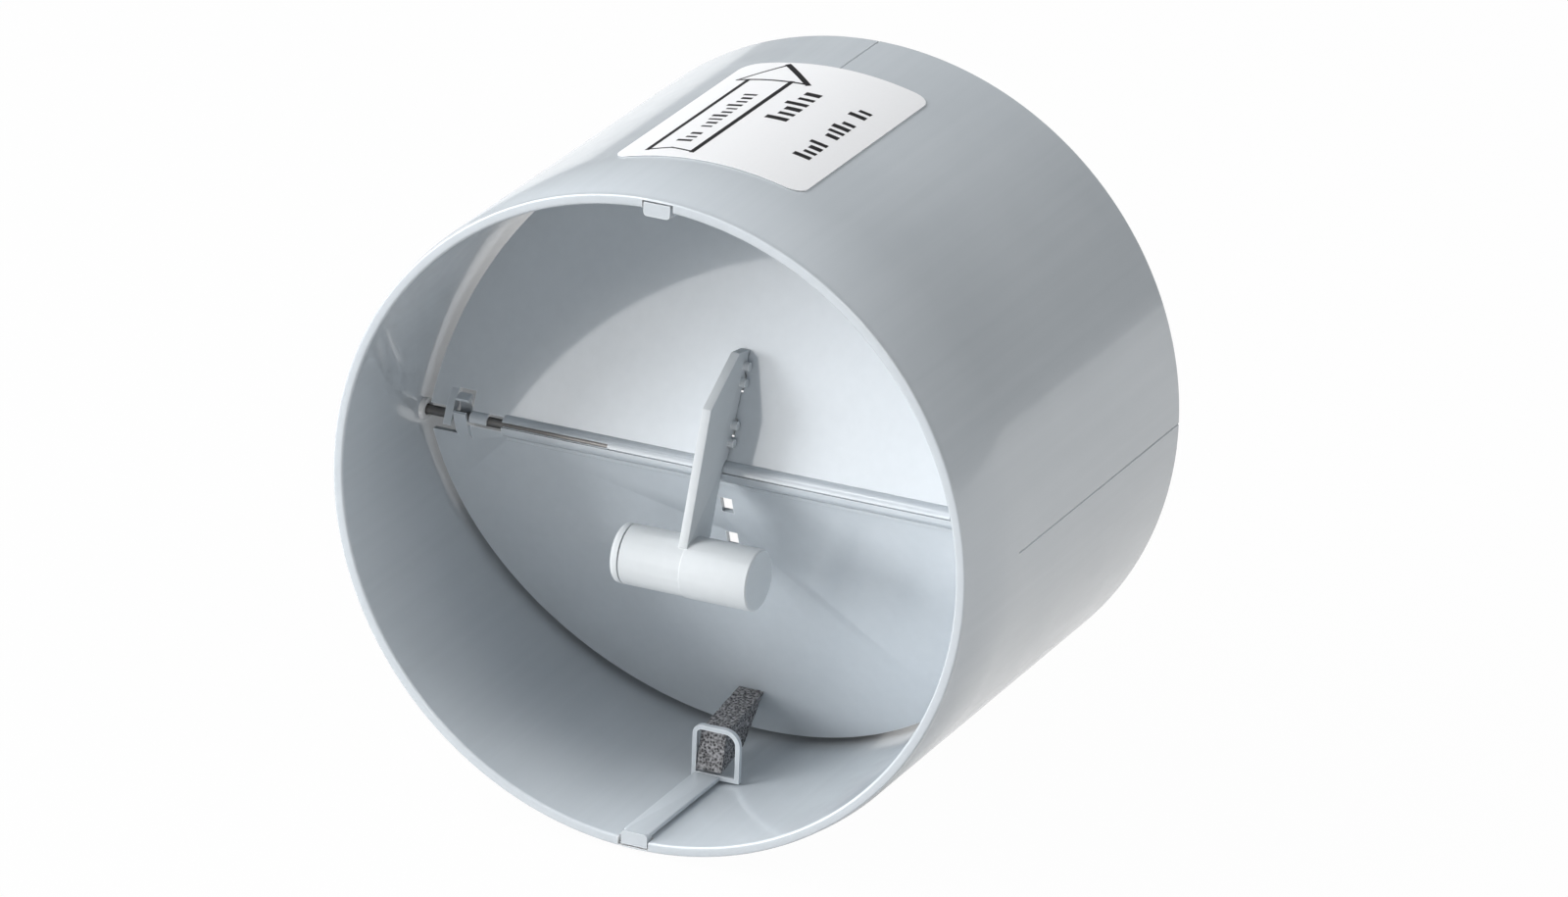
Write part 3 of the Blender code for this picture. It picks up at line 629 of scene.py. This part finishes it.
carriedPieces = {
    "upperFlap": {
        "node": "upper_flap",
        "body": "upper_leaf",
        "edge": 0.10 * mm,
        "finish": flapPlastic,
        "slot": "flap_plastic",
    },
    "lowerFlap": {
        "node": "lower_flap",
        "body": "lower_leaf",
        "edge": 0.10 * mm,
        "finish": flapPlastic,
        "slot": "flap_plastic",
    },
    "hingeRod": {
        "node": "hinge_rod",
        "body": "housing",
        "edge": 0.0,
        "finish": steel,
        "slot": "steel",
    },
    "weightArm": {
        "node": "counterweight_arm",
        "body": "upper_leaf",
        "edge": 0.08 * mm,
        "finish": armPlastic,
        "slot": "arm_plastic",
    },
    "weightCap": {
        "node": "weight_cap",
        "body": "upper_leaf",
        "edge": 0.10 * mm,
        "finish": armPlastic,
        "slot": "arm_plastic",
    },
    "weightSlug": {
        "node": "steel_weight",
        "body": "upper_leaf",
        "edge": 0.0,
        "finish": steel,
        "slot": "steel",
    },
    "topStopRail": {
        "node": "top_stop_rail",
        "body": "housing",
        "edge": 0.08 * mm,
        "finish": tubePlastic,
        "slot": "grey_plastic",
    },
    "bottomStopRail": {
        "node": "bottom_stop_rail",
        "body": "housing",
        "edge": 0.08 * mm,
        "finish": tubePlastic,
        "slot": "grey_plastic",
    },
    "flowLabel": {
        "node": "flow_label",
        "body": "housing",
        "edge": 0.0,
        "finish": film,
        "slot": "label_film",
        "outerRadius": 62.27 * mm,
    },
}


def carryOver(name, piece):
    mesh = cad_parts[piece["node"]].data.copy()
    mesh.name = name
    mesh.materials.clear()
    mesh.materials.append(piece["finish"])
    builder = bmesh.new()
    builder.from_mesh(mesh)
    bmesh.ops.remove_doubles(builder, verts=builder.verts, dist=mergeDistance)
    bmesh.ops.dissolve_limit(
        builder,
        angle_limit=math.radians(flatAngle),
        verts=builder.verts,
        edges=builder.edges,
        delimit={"NORMAL"},
    )
    bmesh.ops.recalc_face_normals(builder, faces=builder.faces)
    for vertex in builder.verts:  # the label's film is a hair thinner, for the ink on it
        radius = math.hypot(vertex.co.x, vertex.co.z)
        if radius > piece.get("outerRadius", 1.0):
            vertex.co.x *= piece["outerRadius"] / radius
            vertex.co.z *= piece["outerRadius"] / radius
    builder.to_mesh(mesh)
    builder.free()
    item = addObject(name, mesh)
    smooth(item)
    if piece["edge"]:
        bevel = item.modifiers.new("brokenEdges", "BEVEL")
        bevel.width = piece["edge"]
        bevel.segments = 2
        bevel.limit_method = "ANGLE"
        bevel.angle_limit = math.radians(hardAngle)
        bevel.harden_normals = True
        bevel.miter_outer = "MITER_ARC"
        plainMesh(item)
    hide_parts(piece["node"])
    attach(item, piece["body"])
    print(name, "made,", len(item.data.polygons), "faces")
    return item


# Foam stops: the blocks' own corners, cut into cells

foamSizes = {
    "cuts": 40,
    "cell": 0.62 * mm,
    "pit": 0.22 * mm,
    "slope": 1.6,
    "fill": 0.9,
    "flatAngle": 1.0,
    "smoothAngle": 60.0,
}


def foamTree():
    sockets = {"Cell": "Float", "Pit": "Float", "Slope": "Float", "Finish": "Material"}
    tree, given = startTree("openCells", sockets)
    cells = addNode(tree, "ShaderNodeTexVoronoi")
    join(tree, positions(tree), cells.inputs["Vector"])
    join(tree, calc(tree, "DIVIDE", 1.0, given["Cell"]), cells.inputs["Scale"])
    fromMiddle = calc(tree, "MULTIPLY", cells.outputs["Distance"], given["Slope"])
    depth = calc(tree, "SUBTRACT", 1.0, calc(tree, "MINIMUM", fromMiddle, 1.0))
    inward = addNode(tree, "ShaderNodeVectorMath", operation="SCALE")
    join(tree, addNode(tree, "GeometryNodeInputNormal").outputs[0], inward.inputs[0])
    sunk = calc(tree, "MULTIPLY", calc(tree, "MULTIPLY", depth, given["Pit"]), -1.0)
    join(tree, sunk, inward.inputs["Scale"])
    pitted = addNode(tree, "GeometryNodeSetPosition")
    join(tree, given["Geometry"], pitted.inputs["Geometry"])
    join(tree, inward.outputs[0], pitted.inputs["Offset"])
    return endTree(tree, pitted.outputs["Geometry"], given["Finish"])


def buildFoam(name, node, sizes, tree):
    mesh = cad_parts[node].data.copy()
    mesh.name = name
    mesh.materials.clear()
    builder = bmesh.new()
    builder.from_mesh(mesh)
    bmesh.ops.remove_doubles(builder, verts=builder.verts, dist=mergeDistance)
    flat = math.radians(sizes["flatAngle"])
    bmesh.ops.dissolve_limit(builder, angle_limit=flat, verts=builder.verts, edges=builder.edges)
    bmesh.ops.subdivide_edges(builder, edges=builder.edges, cuts=sizes["cuts"], use_grid_fill=True)
    bmesh.ops.recalc_face_normals(builder, faces=builder.faces)
    builder.to_mesh(mesh)
    builder.free()
    block = addObject(name, mesh)
    cells = block.modifiers.new("cells", "NODES")
    cells.node_group = tree
    setInputs(cells, Cell=sizes["cell"], Pit=sizes["pit"], Slope=sizes["slope"], Finish=foam)
    plainMesh(block)
    smooth(block, sizes["smoothAngle"])
    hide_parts(node)
    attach(block, "housing")
    print(name, "made,", len(block.data.polygons), "faces")


# Print on the label: an arrow's outline and rows of short marks, bars that are bent round the tube

printSizes = {
    "inkRadius": 62.275 * mm,
    "inkThickness": 0.045 * mm,
    "barColumns": 13,
    "barRows": 3,
    "outline": (  # degrees round the tube and millimetres from the inlet at both ends, and the line's width
        ((-12.0, 24.0), (-12.0, 65.0), 0.85),
        ((-4.0, 24.0), (-4.0, 64.7), 0.95),
        ((-12.0, 24.0), (-8.2, 25.2), 0.5),
        ((-8.2, 25.2), (-4.0, 24.0), 0.5),
        ((-14.1, 65.2), (-1.0, 64.6), 0.6),
        ((-14.1, 65.2), (-8.45, 73.8), 0.5),
        ((-8.45, 73.8), (-1.0, 64.6), 1.1),
    ),
    "rows": (
        {
            "base": -6.5,
            "start": 29.5,
            "marks": 14,
            "pitch": 2.05,
            "height": 2.9,
            "breaks": (3,),
            "bold": 0.9,
        },
        {
            "base": 3.3,
            "start": 46.5,
            "marks": 6,
            "pitch": 2.75,
            "height": 4.3,
            "breaks": (),
            "bold": 1.5,
        },
        {
            "base": 12.8,
            "start": 34.4,
            "marks": 12,
            "pitch": 2.3,
            "height": 3.4,
            "breaks": (4, 9),
            "bold": 1.3,
        },
    ),
    "markWidths": (1.05, 0.8, 1.1, 0.9, 0.75),
    "markHeights": (1.0, 0.72, 0.72, 1.0, 0.72, 0.72, 0.9),
}


def printMarks(sizes):  # (place round the tube, y, length, width, turn), in metres and radians
    radius = sizes["inkRadius"]
    marks = []
    for (startAngle, startY), (endAngle, endY), lineWidth in sizes["outline"]:
        start = Vector((math.radians(startAngle) * radius, startY * mm))
        end = Vector((math.radians(endAngle) * radius, endY * mm))
        along = end - start
        line = lineWidth * mm
        marks.append((*((start + end) / 2), along.length + line, line, math.atan2(along.y, along.x)))
    for row in sizes["rows"]:
        for number in range(row["marks"]):
            if number in row["breaks"]:
                continue
            height = row["height"] * sizes["markHeights"][number % len(sizes["markHeights"])] * mm
            width = row["bold"] * sizes["markWidths"][number % len(sizes["markWidths"])] * mm
            middle = math.radians(row["base"]) * radius - height / 2
            marks.append((middle, (row["start"] + number * row["pitch"]) * mm, height, width, 0.0))
    return marks


def bentBarsTree(sizes):
    tree, given = startTree("bentBars", {"Radius": "Float", "Finish": "Material"})
    bar = addNode(tree, "GeometryNodeMeshCube")
    bar.inputs["Size"].default_value = (1, 1, 1)
    bar.inputs["Vertices X"].default_value = sizes["barColumns"]
    bar.inputs["Vertices Y"].default_value = sizes["barRows"]
    turned = addNode(tree, "FunctionNodeEulerToRotation")
    join(tree, named(tree, "markTurn", "FLOAT_VECTOR"), turned.inputs[0])
    placed = addNode(tree, "GeometryNodeInstanceOnPoints")
    join(tree, given["Geometry"], placed.inputs["Points"])
    join(tree, bar.outputs["Mesh"], placed.inputs["Instance"])
    join(tree, turned.outputs[0], placed.inputs["Rotation"])
    join(tree, named(tree, "markSize", "FLOAT_VECTOR"), placed.inputs["Scale"])
    flat = addNode(tree, "GeometryNodeRealizeInstances")
    join(tree, placed.outputs["Instances"], flat.inputs["Geometry"])
    place = splitPlace(tree, positions(tree))
    angle = calc(tree, "DIVIDE", place["X"], given["Radius"])
    radius = calc(tree, "ADD", place["Z"], given["Radius"])
    bent = roundTube(tree, flat.outputs["Geometry"], radius, angle, place["Y"])
    return endTree(tree, bent, given["Finish"])


def buildPrint(sizes):
    marks = printMarks(sizes)
    mesh = bpy.data.meshes.new("labelPrint")
    mesh.from_pydata([(x, y, 0.0) for x, y, _, _, _ in marks], [], [])
    size = mesh.attributes.new("markSize", "FLOAT_VECTOR", "POINT")
    turn = mesh.attributes.new("markTurn", "FLOAT_VECTOR", "POINT")
    for number, (_, _, length, width, angle) in enumerate(marks):
        size.data[number].vector = (length, width, sizes["inkThickness"])
        turn.data[number].vector = (0.0, 0.0, angle)
    marksObject = addObject("labelPrint", mesh)
    bars = marksObject.modifiers.new("bars", "NODES")
    bars.node_group = bentBarsTree(sizes)
    setInputs(bars, Radius=sizes["inkRadius"], Finish=ink)
    plainMesh(marksObject)
    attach(marksObject, "housing")
    print("label print made,", len(marks), "marks,", len(marksObject.data.polygons), "faces")


# Floor, backdrop and lights

studio = {
    "floorHeight": -62.3 * mm,
    "floorSize": 6.0,
    "floorColour": 0.5,
    "floorRoughness": 0.9,
    "floorShade": 0.02,
    "skyLight": {"front": 0.05, "behind": 0.02},
    "skyReflected": {"front": 1.0, "behind": 0.05},
    "frontFade": (-0.1, 0.3),
    "aimFromRim": 46 * mm,
    "lamps": {
        "leftPanel": {"azimuth": -58.0, "elevation": 22.0, "distance": 1.6, "size": 0.9, "power": 9.0},
        "highLeftPanel": {"azimuth": -79.0, "elevation": 51.0, "distance": 1.6, "size": 0.9, "power": 17.0},
        "lowLeftPanel": {"azimuth": -50.0, "elevation": 8.0, "distance": 1.6, "size": 0.6, "power": 15.5},
        "frontPanel": {"azimuth": -27.0, "elevation": 17.5, "distance": 1.6, "size": 0.36, "power": 1.45},
        "middlePanel": {"azimuth": -48.0, "elevation": 42.0, "distance": 1.6, "size": 0.6, "power": 6.0},
        "lowFrontPanel": {"azimuth": 6.0, "elevation": -1.0, "distance": 1.6, "size": 0.6, "power": 5.8},
        "rightPanel": {"azimuth": 88.0, "elevation": 45.0, "distance": 1.6, "size": 0.8, "power": 9.0},
        "highRightFill": {"azimuth": 60.0, "elevation": 50.0, "distance": 1.6, "size": 1.0, "power": 1.6},
        "backFill": {"azimuth": 102.0, "elevation": 62.0, "distance": 1.6, "size": 0.8, "power": 2.5},
    },
}


def buildLight(name, place, target):
    back = direction(place)
    data = bpy.data.lights.new(name, "AREA")
    data.energy = place["power"]
    data.size = place["size"]
    lamp = addObject(name, data)
    lamp.location = target + back * place["distance"]
    lamp.rotation_mode = "QUATERNION"
    lamp.rotation_quaternion = back.to_track_quat("Z", "Y")


def seenDirectly(tree):  # 1 for what the camera, a reflection or a clear piece shows
    path = addNode(tree, "ShaderNodeLightPath")
    seen = calc(tree, "MAXIMUM", path.outputs["Is Camera Ray"], path.outputs["Is Glossy Ray"])
    return calc(tree, "MAXIMUM", seen, path.outputs["Is Transmission Ray"])


def buildStudio(settings):
    world = bpy.data.worlds.new("studioWhite")
    bpy.context.scene.world = world
    world.use_nodes = True
    tree = world.node_tree
    plain = tree.nodes["Background"]
    plain.inputs["Color"].default_value = (1, 1, 1, 1)
    place = splitPlace(tree, addNode(tree, "ShaderNodeTexCoord").outputs["Generated"])
    # 1 before the tube and 0 behind it
    front = addNode(tree, "ShaderNodeMapRange", interpolation_type="SMOOTHSTEP")
    front.inputs["From Min"].default_value = settings["frontFade"][1]
    front.inputs["From Max"].default_value = settings["frontFade"][0]
    join(tree, place["Y"], front.inputs["Value"])
    levels = []
    for level in (settings["skyLight"], settings["skyReflected"]):
        ends = (level["behind"], level["front"])
        levels.append(ranged(tree, front.outputs["Result"], (0.0, 1.0), ends))
    light, reflected = levels
    path = addNode(tree, "ShaderNodeLightPath")
    glossy = calc(tree, "MAXIMUM", path.outputs["Is Glossy Ray"], path.outputs["Is Transmission Ray"])
    extra = calc(tree, "MULTIPLY", glossy, calc(tree, "SUBTRACT", reflected, light))
    unseen = calc(tree, "ADD", light, extra)
    strength = calc(tree, "MAXIMUM", path.outputs["Is Camera Ray"], unseen)  # a strength of 1 is white
    join(tree, strength, plain.inputs["Strength"])

    builder = bmesh.new()
    bmesh.ops.create_grid(builder, x_segments=1, y_segments=1, size=settings["floorSize"] / 2)
    bmesh.ops.translate(builder, verts=builder.verts, vec=(0, 0, settings["floorHeight"]))
    floor = addObject("studioFloor", finishedMesh(builder, "studioFloor"))
    material, tree, shader = startMaterial("floorWhite")
    shader.inputs["Base Color"].default_value = (*[settings["floorColour"]] * 3, 1)
    shader.inputs["Roughness"].default_value = settings["floorRoughness"]
    glow = addNode(tree, "ShaderNodeEmission")
    mix = addNode(tree, "ShaderNodeMixShader")
    share = calc(tree, "MULTIPLY", seenDirectly(tree), 1.0 - settings["floorShade"])
    join(tree, share, mix.inputs["Fac"])
    join(tree, shader.outputs["BSDF"], mix.inputs[1])
    join(tree, glow.outputs["Emission"], mix.inputs[2])
    join(tree, mix.outputs["Shader"], tree.nodes["Material Output"].inputs["Surface"])
    floor.data.materials.append(material)

    middle = Vector((0, settings["aimFromRim"], 0))
    for name, place in settings["lamps"].items():
        buildLight(name, place, middle)
    bpy.context.scene.view_settings.view_transform = "Standard"


buildCamera(cameraView)
buildStudio(studio)
print("camera and studio made")
buildTube(tubeSizes)
for name, piece in carriedPieces.items():
    carryOver(name, piece)
buildPrint(printSizes)
cellTree = foamTree()
buildFoam("bottomFoamStop", "bottom_foam_stop", foamSizes, cellTree)
buildFoam("topFoamStop", "top_foam_stop", foamSizes, cellTree)
